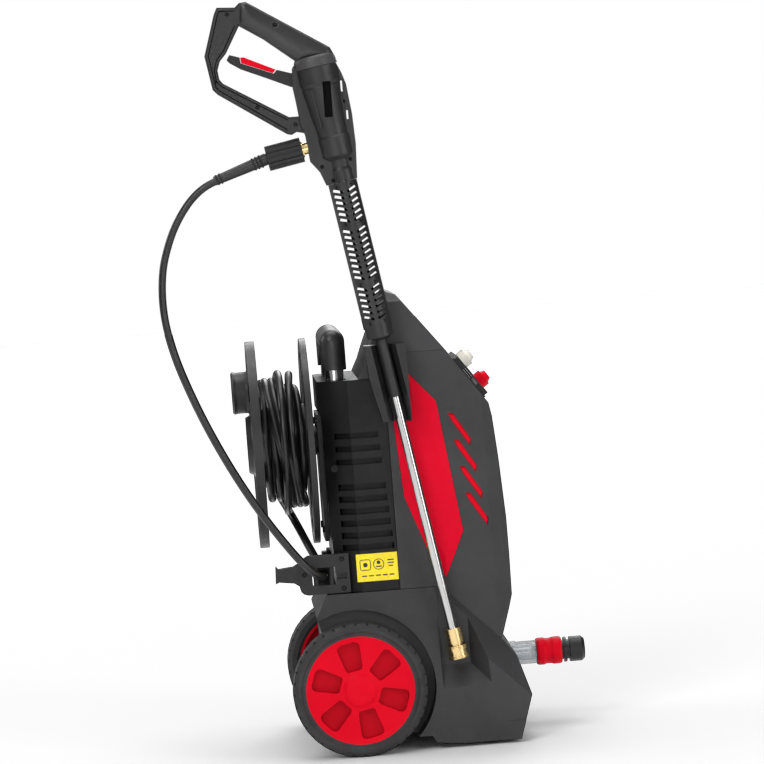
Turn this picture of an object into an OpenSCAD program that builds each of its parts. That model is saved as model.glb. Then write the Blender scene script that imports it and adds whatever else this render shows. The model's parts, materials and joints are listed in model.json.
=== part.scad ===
// Upright electric pressure washer on two wheels, with a hose reel at the
// back and the spray gun stowed in a holder on the left side.
// Millimetres. +Z up, front of the machine towards -Y, gun side at -X.

/* [Running gear] */
// Wheel diameter over the tread
wheel_d = 180; // [176:1:182]
// Tyre width
wheel_w = 45; // [42:1:45]
// Width over the outer faces of both wheels
track_w = 340; // [338:1:344]
// Axle diameter
axle_d = 16; // [15:0.5:16]

/* [Housing] */
// Width of the front housing
hood_w = 230; // [228:1:232]
// Width of the rear housing
rear_w = 224; // [222:1:224]
// Wall thickness of the mouldings
wall = 3; // [2.5:0.25:3]
// Width of the foot
foot_w = 300; // [292:2:300]

/* [Handle] */
// Diameter of the telescopic tubes
tube_d = 25; // [24:0.5:25]
// Distance between the telescopic tubes
tube_gap = 160; // [156:1:160]
// Diameter of the hand grip
grip_d = 33; // [32:0.5:34]

/* [Hose] */
// Outer diameter of the high-pressure hose
hose_d = 10; // [9:0.5:10]
// Radius of the reel flanges
flange_r = 142; // [138:1:142]
// Radius of the wound hose
coil_r = 90; // [86:1:90]

/* [Gun] */
// Outer diameter of the lance tube
lance_d = 13; // [12:0.5:13]
// Outer diameter of the perforated handguard
guard_d = 39; // [38:0.5:39]
// Width of the gun shells
gun_w = 30; // [28:1:30]

/* [Hidden] */
$fn = 96;
e = 0.01;
axle_y = 88.5;      // the wheel axle lies this far behind the origin
axle_z = wheel_d/2;
hx = hood_w/2; rx = rear_w/2; fx = foot_w/2;
reel_z = 418;
gun_x = -140;
tilt = 9.51;        // lean of the lance
slope_a = 54.95;    // angle of the slope that carries the nozzle rack

function area(p) = let(n = len(p)) 0.5*sumv([for (i = [0:n-1]) let(q = p[(i+1)%n]) p[i].x*q.y - q.x*p[i].y]);
function sumv(v, i = 0) = i < len(v) ? v[i] + sumv(v, i+1) : 0;
// polygon moved inwards by t, corners kept sharp
function inset(p, t) = let(n = len(p), s = area(p) > 0 ? t : -t)
  [for (i = [0:n-1]) let(a = p[(i+n-1)%n], b = p[i], c = p[(i+1)%n],
    u = (b-a)/norm(b-a), v = (c-b)/norm(c-b), nu = [-u.y, u.x], nv = [-v.y, v.x])
    b + s*(nu+nv)/(1 + nu*nv)];

module at() translate([0, axle_y, 0]) children();
module xprism(p, x0, x1) translate([x0, 0, 0]) rotate([90, 0, 90]) linear_extrude(x1-x0) polygon(p);
module yprism(p, y0, y1) translate([0, y1, 0]) rotate([90, 0, 0]) linear_extrude(y1-y0) polygon(p);
module zprism(p, z0, z1) translate([0, 0, z0]) linear_extrude(z1-z0) polygon(p);
module box(a, b) translate(a) cube(b-a);
module xcyl(r, x0, x1) translate([x0, 0, 0]) rotate([0, 90, 0]) cylinder(r = r, h = x1-x0);
module ycyl(r, y0, y1) translate([0, y0, 0]) rotate([-90, 0, 0]) cylinder(r = r, h = y1-y0);
module zcyl(r, z0, z1) translate([0, 0, z0]) cylinder(r = r, h = z1-z0);
module both() { children(); mirror([1, 0, 0]) children(); }
// turned profile [[radius, y]...] about the Y axis
module yturn(p) rotate([-90, 0, 0]) rotate_extrude() polygon(p);
// turned profile [[radius, x]...] about the X axis
module xturn(p) rotate([0, 90, 0]) rotate_extrude() polygon(p);
// lance frame: local Z runs up the lance, zero at the top of the bare tube
module lance() at() translate([gun_x, -77.5, 478]) rotate([-tilt, 0, 0]) children();
// hose nut frame: local Z runs from the gun into the hose
module nutf() at() translate([gun_x, 22, 817]) rotate([-100.6, 0, 0]) children();
module reelf() at() translate([0, 0, reel_z]) children();

// round tube swept through the points p
function tang(p, i) = let(a = p[max(i-1, 0)], b = p[min(i+1, len(p)-1)]) (b-a)/norm(b-a);
function side0(t) = let(c = cross(t, abs(t.x) > 0.8 ? [0, 0, 1] : [1, 0, 0])) c/norm(c);
function frames(p, i = 0, s = undef) = i >= len(p) ? [] :
  let(t = tang(p, i), k = is_undef(s) ? side0(t) : let(q = s - (s*t)*t) q/norm(q))
  concat([k], frames(p, i+1, k));
module sweep(p, r, n = 10) {
  f = frames(p);
  pts = [for (i = [0:len(p)-1]) let(t = tang(p, i), k = f[i], m = cross(t, k))
    for (j = [0:n-1]) p[i] + r*(cos(360*j/n)*k + sin(360*j/n)*m)];
  faces = concat([[for (j = [n-1:-1:0]) j]],
    [for (i = [0:len(p)-2]) for (j = [0:n-1]) [i*n+j, i*n+(j+1)%n, (i+1)*n+(j+1)%n]],
    [for (i = [0:len(p)-2]) for (j = [0:n-1]) [i*n+j, (i+1)*n+(j+1)%n, (i+1)*n+j]],
    [[for (j = [0:n-1]) (len(p)-1)*n+j]]);
  polyhedron(points = pts, faces = [for (q = faces) [for (k = [len(q)-1:-1:0]) q[k]]], convexity = 8);
}

// ---- side profiles [y, z] with the axle at y = 0 ----
p_front = [[-66, 216], [-120, 216], [-133, 202.7], [-165, 170.7], [-198, 137.7],
  [-217, 195], [-217.5, 250], [-217, 300], [-212, 380], [-207, 440], [-203.5, 458],
  [-160, 520], [-150, 534.5], [-45, 534.5], [-40, 521], [-31, 503.5], [-66, 503.5]];
p_top = [[-45.3, 535.2], [-149.4, 535.2], [-90, 613], [-78, 617]];
p_rear = [[-65.5, 216], [-65.5, 503], [25, 503], [25, 460], [22, 458], [22, 300], [20, 280], [18, 216]];
p_base = [[35, 215.3], [50, 185], [45, 165], [40, 60], [22, 20], [-60, 20], [-93, 18],
  [-98, 9], [-117, 7], [-140, 5], [-212, 5], [-231, 63], [-216, 115], [-198.6, 136.9],
  [-165.5, 169.9], [-133.5, 201.9], [-120, 215.3]];
r_front = [[-hx, 0], [-hx, -194], [-106, -211], [-84, -226], [84, -226], [106, -211], [hx, -194], [hx, 0]];
r_rear = [[-rx, -80], [-rx, -15], [-92, 25.6], [92, 25.6], [rx, -15], [rx, -80]];
q_base = [[-fx, 4], [-fx, 88], [-134, 118], [-122, 168], [-115, 216], [115, 216],
  [122, 168], [134, 118], [fx, 88], [fx, 4]];
q_top = [[-hx, 535], [-104, 604], [-90, 618], [90, 618], [104, 604], [hx, 535]];
panel = [[-73, 443], [-80, 340], [-105, 270], [-129, 226], [-157, 288], [-133, 467], [-98, 507]];
vent = [[-147.5, 449], [-151.5, 438.5], [-174.5, 402], [-176.5, 411.5], [-154.5, 448]];

// ---- housing ----
module top_cover() color([0.16, 0.16, 0.17]) at() difference() {
  intersection() { xprism(p_top, -hx, hx); yprism(q_top, -160, -40); }
  intersection() {
    xprism([[-49, 530], [-145, 530], [-89, 608.5], [-80.5, 611.5]], -hx+wall, hx-wall);
    yprism(inset([[-hx, 525], [-hx, 535], [-104, 604], [-90, 618], [90, 618], [104, 604], [hx, 535], [hx, 525]], wall), -160, -40);
  }
}
module front_cover() color([0.19, 0.19, 0.2]) at() difference() {
  union() {
    difference() {
      intersection() { xprism(p_front, -hx, hx); zprism(r_front, 130, 540); }
      intersection() { xprism(inset(p_front, wall), -hx+wall, hx-wall); zprism(inset(r_front, wall), 130, 540); }
      box([-106, -144, 530], [106, -50, 536]);
      box([-107, -70, 214], [107, -60, 499]);
      xprism([[-60, 210], [-60, 223], [-119, 223], [-132, 212], [-166, 178], [-192, 152], [-188, 128], [-100, 130]], -96, 96);
    }
    // cup of the power knob
    intersection() { xprism(inset(p_front, 1.4), -60, 60); translate([0, 0, 330]) ycyl(37, -230, -189); }
  }
  translate([0, 0, 330]) { ycyl(34, -240, -192); ycyl(6.5, -195, -180); }
  for (s = [-1, 1]) scale([1, 1, 1]) {
    // recess of the red panel, and four slanted vents
    xprism(panel, s > 0 ? hx-2 : -hx-1, s > 0 ? hx+1 : -hx+2);
    for (i = [0:3]) translate([0, -5.2*i, -36.4*i]) xprism(vent, s > 0 ? hx-5 : -hx-1, s > 0 ? hx+1 : -hx+5);
  }
}
// baffle behind the louvres, carried by two ledges
module baffles() both() {
  zprism([[-104.5, -60], [-104.5, -14.5], [-95, 4.5], [-93, 3.4], [-102.5, -15], [-102.5, -60]], 262, 437);
  for (z = [262, 434]) zprism([[-110, -60], [-110, -15.5], [-100, 4.8], [-93, 3.4], [-102.5, -15], [-102.5, -60]], z, z+3);
}
module rear_cover() color([0.13, 0.13, 0.14]) at() { baffles(); rear_shell(); }
module rear_shell() difference() {
  union() {
    difference() {
      intersection() { xprism(p_rear, -rx, rx); zprism(r_rear, 200, 510); }
      intersection() {
        xprism([[-70, 210], [-70, 500], [22, 500], [22, 457], [19, 455], [19, 300], [17, 280], [15, 210]], -rx+wall, rx-wall);
        zprism(inset(r_rear, wall), 200, 510);
      }
    }
    both() translate([tube_gap/2, 0, 0]) zcyl(16, 440, 502);
    // screw bosses
    both() translate([-rx, 10, 385]) xcyl(5, 8, 14);
  }
  both() translate([tube_gap/2, 0, 0]) zcyl(tube_d/2+0.15, 430, 510);
  // louvres on both sides: three above, six below
  for (s = [-1, 1]) {
    for (i = [0:2]) box([s > 0 ? 97.5 : -rx-1, -54+i, 388.5+17.6*i], [s > 0 ? rx+1 : -97.5, 7, 396.5+17.6*i]);
    for (i = [0:5]) box([s > 0 ? 97.5 : -rx-1, -62+i, 272+16.4*i], [s > 0 ? rx+1 : -97.5, 7, 280.5+16.4*i]);
  }
  // reel spigot
  translate([0, 0, reel_z]) ycyl(13, 10, 30);
  // power cord gland
  translate([60, 0, 250]) ycyl(8.2, 0, 30);
  // deck slot beside the tubes
  both() box([tube_gap/2-20, -15, 455], [tube_gap/2+14, -12.9, 510]);
}
module base_housing() color([0.17, 0.17, 0.18]) at() difference() {
  intersection() {
    xprism(p_base, -fx, fx);
    union() { yprism(q_base, -240, 60); box([-fx, -240, 0], [fx, -116.5, 220]); }
  }
  both() {
    // recess beside the tip of the lance
    intersection() {
      yprism([[-fx-1, 80], [-fx-1, 220], [-121, 220], [-121, 110]], -190, -100);
      zprism([[-fx-1, -182], [-fx-1, -112], [-121, -112], [-121, -153]], 70, 225);
    }
    // shallow facet below the recess
    intersection() {
      translate([-fx, -137, 75]) rotate([43.5, 0, 0]) rotate([0, -84.3, 0]) box([0, -160, 0], [200, 120, 30]);
      box([-fx-5, -240, 30], [-90, -137, 230]);
    }
    // flank leans in above the diagonal crease of the foot
    translate([-fx, -150, 133]) rotate([44.6, 0, 0]) rotate([0, -46.5, 0]) box([-60, -125, 0], [90, 62, 80]);
    // wheel well
    translate([0, 0, axle_z]) xcyl(103, -160, -112);
  }
  // room for the machinery, open at the top
  xprism([[31, 220], [46, 185], [42, 165], [37, 62], [20, 23], [-60, 23], [-95, 21], [-101, 12], [-117, 10],
    [-140, 8], [-208, 8], [-225, 63], [-211, 113], [-196, 134.5], [-163, 167.5], [-131, 199], [-114, 220]], -93, 93);
  xprism([[31, 220], [46, 185], [42, 165], [37, 62], [20, 23], [-60, 23], [-95, 21], [-101, 12], [-108, 9.6], [-108, 220]], -109, 109);
  // room for the pump where the slope meets the front housing
  box([-62, -152, 168], [62, -100, 225]);
  // hollow foot
  both() box([-fx+9, -206, 8], [-92, -106, 78]);
  // axle holes
  translate([0, 0, axle_z]) xcyl(axle_d/2+0.2, -120, 120);
  // inlet opening
  translate([0, 0, 100.5]) ycyl(19, -240, -190);
}
module side_panels() color([0.85, 0.02, 0.12]) at() both() hull() {
  translate([-hx, 0, 0]) xprism(inset(panel, 0.5), 0, 2);
  translate([-hx, 0, 0]) xprism([[-90, 436], [-94, 350], [-113, 290], [-130, 256], [-143, 296], [-124, 446], [-101, 478]], -3.5, 0);
}
module vent_inserts() color([0.85, 0.02, 0.12]) at() both() {
  union() {
    xprism([[-143, 455], [-156, 290], [-190, 290], [-190, 345], [-181, 410], [-165, 455]], -hx+3.2, -hx+5);
    for (i = [0:3]) translate([0, -5.2*i, -36.4*i]) xprism([[-149.5, 445.5], [-152.5, 438.5], [-174, 404.5], [-175.6, 411], [-154.5, 446]], -hx+1.2, -hx+3.3);
  }
}
module foot_pads() color([0.08, 0.08, 0.08]) at() both() translate([110, -176, 0]) { zcyl(17, 0, 4.9); zcyl(12, 4.5, 5); }
module label_plate() color([0.98, 0.86, 0.05]) at() box([-rx-1, -70+5, 229.5], [-rx, -9, 267]);
module cord_gland() color([0.06, 0.06, 0.06]) at() translate([60, 0, 250]) difference() {
  union() { ycyl(8, 12, 32); ycyl(12, 20.6, 25); }
  ycyl(3.6, 5, 40);
}
module housing_screws() color([0.5, 0.5, 0.52]) at() {
  for (x = [-36, 36]) for (z = [-120, 25]) translate([x, 0, reel_z+z]) { ycyl(4.6, 28.02, 30.5); ycyl(2.5, 25.1, 28.5); }
  both() translate([rx-7.9, 10, 385]) xcyl(3.2, 2.02, 3.2);
}

// ---- holders on the left side ----
module lance_holder() color([0.1, 0.1, 0.11]) difference() {
  at() {
    xprism([[-40, 549], [-45, 500], [-58, 446], [-97, 444], [-96, 549]], -152, -hx-5);
    xprism([[-40.5, 548], [-45.5, 500], [-58, 448], [-70, 452], [-70, 548]], -hx-5, -hx-0.02);
    xprism([[-70, 515], [-95, 515], [-95, 548], [-70, 548]], -hx-5, -hx-0.02);
  }
  lance() {
    zprism([[14, -8.6], [8.4, -8.6], [0, -10], [-14, -17.5], [-14, 17.5], [0, 10], [8.4, 8.6], [14, 8.6]], -60, 90);
  }
}
module hose_guide() color([0.09, 0.09, 0.1]) at() {
  difference() {
    xprism([[0.8, 217], [58, 217], [64, 218.8], [67.6, 222.6], [69, 228], [69, 258], [66.5, 264], [56, 270], [0.8, 270]], -111, -105);
    box([-112, 20, 229], [-104, 52, 253]);
    box([-112, 5, 236], [-104, 21, 244]);
  }
  zprism([[-105.02, 0.8], [-105.02, 18], [-96.2, 18], [-96.2, 17.6], [-104.4, 0.8]], 217, 270);
  for (y = [25.6, 46.4]) translate([-108, y, 0]) zcyl(1.5, 228, 254);
}
module roller(y) at() translate([-108, y, 0]) difference() { zcyl(3.4, 229.4, 252.6); zcyl(1.58, 220, 260); }
module roller_front() color([0.2, 0.2, 0.21]) roller(25.6);
module roller_rear() color([0.2, 0.2, 0.21]) roller(46.4);
module cord_hook() color([0.09, 0.09, 0.1]) at() xprism([[69.02, 230], [69.02, 261], [76, 257], [97, 255], [100, 259], [101, 236], [97, 238], [76, 235]], -112, -104);
module rackf() at() translate([0, -181, 490.1]) rotate([slope_a, 0, 0]) children();
module nozzle_rack() color([0.07, 0.07, 0.08]) rackf() difference() {
  union() {
    box([-68, -34, 0.3], [68, 34, 3.2]);
    for (s = [-1, 1]) box([-66, s*23-9, 3], [66, s*23+9, 9]);
    for (x = [-66, 60]) box([x, -20, 6.8], [x+6, 20, 9]);
  }
  for (q = [[-52, 23], [52, -23], [-52, -23], [0, 23], [0, -23]]) translate([q.x, q.y, 0]) zcyl(6.2, 3.2, 20);
}
// spray tips standing in the rack
module tip(h) { zcyl(6, 3.3, 22); zcyl(11.3, 9.2, 9.2+h); translate([0, 0, 9.2+h]) cylinder(r1 = 9, r2 = 6, h = 6); }
module nozzle_fan() color([0.95, 0.95, 0.92]) rackf() translate([-52, 23, 0]) tip(9.5);
module nozzle_jet() color([0.8, 0.03, 0.1]) rackf() translate([52, -23, 0]) tip(12);

// ---- axle and wheels ----
module axle() color("silver") at() translate([0, 0, axle_z]) xcyl(axle_d/2, -157, 157);
module axle_clips() color([0.3, 0.3, 0.3]) at() both() translate([0, 0, axle_z]) difference() { xcyl(12, 121.5, 123); xcyl(axle_d/2, 121, 124); }
module tyre() translate([0, 0, axle_z]) difference() {
  xturn([[73, track_w/2-3], [73, track_w/2-wheel_w+3], [77, track_w/2-wheel_w], [84, track_w/2-wheel_w], [wheel_d/2, track_w/2-wheel_w+6],
    [wheel_d/2, track_w/2-6], [84, track_w/2-0.5], [80, track_w/2], [77, track_w/2-2.5]]);
  for (i = [0:35]) rotate([10*i, 0, 0]) translate([track_w/2-10, -1.6, wheel_d/2-2.5]) cube([12, 3.2, 4]);
  for (i = [0:35]) rotate([10*i+5, 0, 0]) translate([track_w/2-wheel_w-1, -1.6, wheel_d/2-2.5]) cube([12, 3.2, 4]);
}
module pocket() polygon([[-9, 27], [-11.5, 30], [-15.5, 58], [-14.5, 62.5], [-9.5, 65.5], [9.5, 65.5], [14.5, 62.5], [15.5, 58], [11.5, 30], [9, 27]]);
module rim(s) translate([0, 0, axle_z]) difference() {
  xturn([[axle_d/2+0.06, track_w/2-wheel_w+1], [16, track_w/2-wheel_w+1], [16, track_w/2-15], [69, track_w/2-15], [69, track_w/2-wheel_w+3],
    [73, track_w/2-wheel_w+3], [73, track_w/2-3], [66, track_w/2-4], [24, track_w/2-4], [19, track_w/2-1.5], [0, track_w/2-0.5], [0, track_w/2-12], [axle_d/2+0.06, track_w/2-12]]);
  for (i = [0:5]) rotate([60*i-12*s, 0, 0]) translate([track_w/2-12, 0, 0]) rotate([90, 0, 90]) linear_extrude(12) pocket();
}
module tyre_left() color([0.12, 0.12, 0.12]) at() mirror([1, 0, 0]) tyre();
module tyre_right() color([0.12, 0.12, 0.12]) at() tyre();
module rim_left() color([0.85, 0.02, 0.12]) at() mirror([1, 0, 0]) rim(1);
module rim_right() color([0.85, 0.02, 0.12]) at() rim(1);

// ---- hose reel, turning about the Y axis ----
module reel_bracket() color([0.11, 0.11, 0.12]) reelf() {
  difference() {
    union() {
      yprism([[-45, -136], [45, -136], [62, 0], [50, 38], [-50, 38], [-62, 0]], 22.02, 28);
      ycyl(20, 27, 33);
      ycyl(12, 10.5, 107);
    }
    ycyl(4, 5, 95);
    for (x = [-36, 36]) for (z = [-120, 25]) translate([x, 0, z]) ycyl(2.6, 20, 30);
  }
}
module reel_drum() color([0.12, 0.12, 0.13]) reelf() difference() {
  union() {
    yturn([[12.08, 35], [18, 35], [18, 39], [flange_r-9, 39], [flange_r-8, 35], [flange_r-1, 35], [flange_r-1, 43], [flange_r-8, 43],
      [52, 43], [52, 104], [48, 104], [48, 43], [18, 43], [18, 99], [48, 99], [48, 103.99], [12.08, 103.99]]);
  }
  for (i = [0:5]) rotate([0, 60*i, 0]) yprism([[-20, 66], [-34, 112], [-28, 122], [28, 122], [34, 112], [20, 66]], 30, 50);
}
module flange_outer() color([0.12, 0.12, 0.13]) reelf() difference() {
  union() {
    yturn([[0, 108.5], [12.2, 108.5], [12.2, 104.01], [52, 104.01], [56, 109], [flange_r-9, 109], [flange_r-8, 105], [flange_r, 105],
      [flange_r, 117], [flange_r-8, 117], [flange_r-9, 112], [50, 112], [41, 118], [38, 124], [0, 124]]);
    translate([0, 0, 73]) { ycyl(15, 111, 117.5); ycyl(5, 111, 136); }
  }
  for (i = [0:5]) rotate([0, 60*i+30, 0]) yprism([[-20, 66], [-34, 112], [-28, 122], [28, 122], [34, 112], [20, 66]], 100, 114);
  ycyl(32, 120, 130);
}
module hose_coil() color([0.05, 0.05, 0.05]) reelf() yturn([[52, 43.4], [84, 43.4], [coil_r, 48], [coil_r, 97], [84, 103.5], [52, 103.5]]);
module crank_knob() color([0.1, 0.1, 0.11]) reelf() translate([0, 0, 73]) yturn([[5.08, 118], [29, 118], [28, 121], [28, 134], [29, 138], [27, 140], [0, 140], [0, 136.6], [5.08, 136.6]]);

// ---- telescopic handle ----
module handle_tubes() color("silver") at() both() translate([tube_gap/2, 0, 0]) difference() { zcyl(tube_d/2, 232, 545); zcyl(tube_d/2-1.5, 230, 543); }
module handle_grip() color([0.07, 0.07, 0.08]) at() difference() {
  union() {
    translate([0, 0, 572-grip_d/2]) xcyl(grip_d/2, -tube_gap/2, tube_gap/2);
    both() translate([tube_gap/2, 0, 0]) { zcyl(grip_d/2, 517, 572-grip_d/2); translate([0, 0, 572-grip_d/2]) sphere(r = grip_d/2); }
  }
  both() translate([tube_gap/2, 0, 0]) zcyl(tube_d/2, 510, 545);
}

// ---- gun ----
p_grip = [[-30.5, 931.8], [-29, 942], [-25, 950], [82, 1018], [91, 1017], [97, 1011.5], [121, 1013], [125.5, 1004],
  [142, 950], [134.5, 905], [128, 898], [40, 839], [34, 837.5], [27, 841], [17.6, 838.8], [22.2, 852], [23.2, 861.4],
  [36, 861.4], [120, 912], [124.5, 918], [126, 930], [122, 942], [113, 952], [93, 987], [62, 967], [20, 933.5], [27.3, 925.8], [-5, 928.9]];
p_barrel = [[27, 925.2], [28, 900], [25, 880], [21.6, 852], [16, 835], [12, 800], [0, 785], [-8, 765], [-48, 765],
  [-50, 820], [-48, 860], [-43, 900], [-38, 915], [-30.6, 931.2], [-5, 928.4]];
p_trig = [[14, 904], [29.5, 901], [60, 914.5], [95, 929.5], [109, 938.5], [113, 943], [109, 949.5], [95.4, 945.2],
  [94.6, 937.4], [52, 920.6], [47.5, 925.4], [29, 919.5], [14, 919]];
p_hand = [[-27, 934], [-25.5, 948], [82, 1017], [90, 1016], [92, 990], [62, 968.5], [18, 935]];
module gun_shell(s) difference() {
  union() {
    for (q = [[0, 5.5], [1, 3.6], [2.4, 2]]) xprism(inset(p_grip, q[0]), s > 0 ? gun_x+0.02 : gun_x-gun_w/2+q[1], s > 0 ? gun_x+gun_w/2-q[1] : gun_x-0.02);
    for (q = [[0, 2.5], [1.2, 1.2], [3.2, 0]]) xprism(inset(p_hand, q[0]), s > 0 ? gun_x+0.02 : gun_x-gun_w/2+q[1], s > 0 ? gun_x+gun_w/2-q[1] : gun_x-0.02);
  }
  // hollow inside of the grip and of the rear bow
  xprism([[-20, 941], [-18, 946], [80, 1008], [86, 1006], [86, 990], [60, 972], [16, 943]], gun_x-gun_w/2+3, gun_x+gun_w/2-3);
  xprism([[100, 1003], [117, 1005], [137, 950], [131, 912], [129, 950], [118, 958]], gun_x-gun_w/2+5, gun_x+gun_w/2-5);
  for (q = [[108, 1003], [45, 985], [131, 914], [77, 877], [28, 851]]) translate([0, q.x, q.y]) xcyl(3, s > 0 ? gun_x+gun_w/2-3.8 : gun_x-gun_w/2-1, s > 0 ? gun_x+gun_w/2+1 : gun_x-gun_w/2+3.8);
}
module gun_shell_left() color([0.1, 0.1, 0.11]) at() gun_shell(-1);
module gun_shell_right() color([0.1, 0.1, 0.11]) at() gun_shell(1);
module barrel_cover() color([0.13, 0.13, 0.14]) difference() {
  intersection() {
    at() xprism(p_barrel, gun_x-34, gun_x+34);
    union() {
      at() xprism(p_barrel, gun_x-11, gun_x+11);
      lance() translate([0, -2.5, 0]) rotate_extrude() polygon([[0, 296.4], [17, 296.4], [17, 312], [15.5, 316], [15.5, 326],
        [23, 332], [24, 357], [22.5, 359], [26, 395], [28.5, 425], [27.6, 427], [29, 431], [29.5, 452], [27.8, 453.5], [27.8, 463], [25, 468], [0, 468]]);
    }
  }
  lance() { box([-40, -60, 250], [40, 60, 296.3]); zcyl(lance_d/2, 290, 340); }
  at() {
    box([gun_x-6.6, 4, 897], [gun_x+6.6, 40, 922.5]);
    translate([0, 20, 912]) xcyl(3.06, gun_x-10.5, gun_x+10.5);
    for (z = [[890, 905, -37], [853, 865, -42]]) box([gun_x-30, z[2]-1.6, z.x], [gun_x+30, z[2]+1.6, z.y]);
    for (s = [-1, 1]) {
      // sunk window and screw holes
      box([gun_x + (s > 0 ? 23 : -35), -22, 857], [gun_x + (s > 0 ? 35 : -23), -11, 905]);
      for (q = [[-38, 877], [-3, 792], [-41, 800], [-16, 773], [-38, 776]]) translate([0, q.x, q.y]) xcyl(2.8, gun_x + (s > 0 ? 8.5 : -12), gun_x + (s > 0 ? 12 : -8.5));
    }
  }
  nutf() zcyl(8.1, -30, 20);
}
module handguard() color([0.08, 0.08, 0.09]) lance() difference() {
  union() {
    zcyl(8, 0, 84);
    translate([0, 0, 78.5]) cylinder(r1 = 8, r2 = 16, h = 5);
    zcyl(18, 83, 98);
    zcyl(guard_d/2, 97, 296);
  }
  zcyl(guard_d/2-3, 103, 300);
  zcyl(lance_d/2, -5, 310);
  for (i = [0:22]) if (i != 6 && i != 16) for (s = [-1, 1]) translate([0, s*8.9, 111+i*7.9]) rotate([s*22, 0, 0]) box([-30, -6.8, -1.75], [30, 6.8, 1.75]);
}
module lance_tube() color([0.75, 0.76, 0.78]) lance() difference() { zcyl(lance_d/2, -333, 330); zcyl(4, -340, 320); }
module coupler_body() color([0.85, 0.68, 0.32]) lance() difference() {
  union() { zcyl(11, -342.2, -322); zcyl(9.4, -361, -342); }
  zcyl(lance_d/2, -333, -320);
  zcyl(6, -370, -338);
  zcyl(3, -345, -330);
}
module coupler_sleeve() color([0.85, 0.68, 0.32]) lance() difference() {
  union() { zcyl(14, -363, -358); zcyl(13, -358.5, -350); zcyl(14, -350.5, -345.5); }
  zcyl(9.6, -370, -354);
  zcyl(11.4, -354.5, -340);
}
module gun_inlet() color([0.85, 0.68, 0.32]) nutf() difference() {
  union() { zcyl(8, -22, 3); zcyl(11.5, -1.5, 2.5); zcyl(10.9, 2, 22); }
  zcyl(4, -15, 30);
}
module hose_nut() color([0.07, 0.07, 0.08]) nutf() difference() {
  linear_extrude(48, center = false) polygon([for (i = [0:35]) let(r = i%3 == 0 ? 15.2 : 17) [r*sin(10*i), r*cos(10*i)]]);
  translate([0, 0, -1]) cylinder(r = 11.8, h = 4);
  zcyl(10.96, 2.9, 26);
  zcyl(8.6, 20, 60);
}
module hose_relief() color([0.08, 0.08, 0.09]) {
  at() translate([gun_x, 70.5, 808]) rotate([-108.8, 0, 0]) cylinder(r1 = 8.2, r2 = 6.3, h = 75);
  nutf()
  zcyl(7.6, 26.5, 54);
}
module trigger() color([0.09, 0.09, 0.1]) at() {
  xprism(p_trig, gun_x-6, gun_x+6);
  translate([0, 20, 912]) xcyl(3, gun_x-10, gun_x+10);
}
module safety_latch() color([0.8, 0.03, 0.1]) at() xprism([[48.6, 925.6], [52.6, 921.5], [93.8, 937.8], [94.6, 945], [90, 945]], gun_x-6.6, gun_x+6.6);

// ---- free hose from the reel through the guide to the gun ----
lead_pts = [[54, 84, 339], [39, 79, 330], [21, 72, 318], [3, 66, 306], [-15, 60, 294], [-33, 54, 281], [-50, 48, 269],
  [-66, 42, 257], [-80, 38, 248], [-94, 36, 242], [-108, 36, 240], [-120, 38, 241], [-131, 43, 244], [-139, 50, 250], [-144, 60, 260],
  [-146, 73, 276], [-146, 86, 294], [-146, 99, 313], [-146, 112, 333], [-146, 126, 356], [-145, 140, 381], [-145, 154, 408], [-144, 167, 435],
  [-144, 179, 462], [-143, 190, 489], [-143, 200, 516], [-142, 209, 543], [-142, 216, 570], [-141, 221, 597], [-141, 223, 624],
  [-140, 222, 651], [-140, 218, 677], [-140, 210, 702], [-140, 200, 725], [-140, 187, 746], [-140, 173, 763], [-140, 158, 775.5], [-140, 142.9, 782.6]];
module hose_lead() color([0.05, 0.05, 0.05]) at() sweep(lead_pts, hose_d/2, 10);

// ---- motor and pump ----
mc = [0, -95, 0];
module motor_case() color([0.55, 0.56, 0.58]) at() translate(mc) difference() {
  union() {
    zcyl(62, 262, 428);
    for (a = [0:15:345]) rotate([0, 0, a]) box([60, -1, 285], [66, 1, 400]);
  }
  zcyl(58, 268, 422);
  zcyl(17.5, 255, 440);
}
module stator_core() color([0.6, 0.35, 0.15]) at() translate(mc) difference() { union() { zcyl(57.9, 300, 370); zcyl(54, 284, 386); } zcyl(38, 280, 390); }
module motor_bearings() color("silver") at() translate(mc) for (z = [263, 421]) difference() { zcyl(17.4, z, z+6); zcyl(8.03, z-1, z+8); }
module rotor() color([0.6, 0.6, 0.62]) at() translate(mc) {
  zcyl(7.97, 214, 455);
  zcyl(37.3, 301, 369);
  // cooling fan
  zcyl(14, 434, 450);
  for (a = [0:45:315]) rotate([0, 0, a]) box([10, -1.5, 434], [50, 1.5, 450]);
  // swash plate
  translate([0, 0, 222]) rotate([6, 0, 0]) zcyl(27, -5, 5);
}
module capacitor() color([0.8, 0.8, 0.78]) at() translate([82, -62, 0]) { zcyl(18, 300, 372); zcyl(14, 372, 376); }
module pump_body() color([0.65, 0.66, 0.68]) at() translate(mc) difference() {
  union() { zcyl(42, 158, 261.9); for (a = [45:90:315]) rotate([0, 0, a]) translate([44, 0, 0]) zcyl(7, 158, 261.9); }
  zcyl(34, 206, 258);
  zcyl(9, 250, 270);
  for (a = [0:120:240]) rotate([0, 0, a]) translate([20, 0, 0]) zcyl(8.05, 150, 210);
}
module pistons() color("silver") at() translate(mc) for (a = [0:120:240]) rotate([0, 0, a]) translate([20, 0, 0]) zcyl(8, 160, 209);
module pump_head() color([0.8, 0.62, 0.28]) at() difference() {
  union() {
    box([-38, -133, 82], [38, -57, 157.9]);
    translate([0, 0, 100.5]) ycyl(11, -205.5, -130);
    translate([22, 0, 122]) ycyl(9, -60, -45);
  }
  translate([0, 0, 100.5]) ycyl(6, -210, -100);
  translate([22, 0, 122]) ycyl(4, -80, -40);
}
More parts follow.
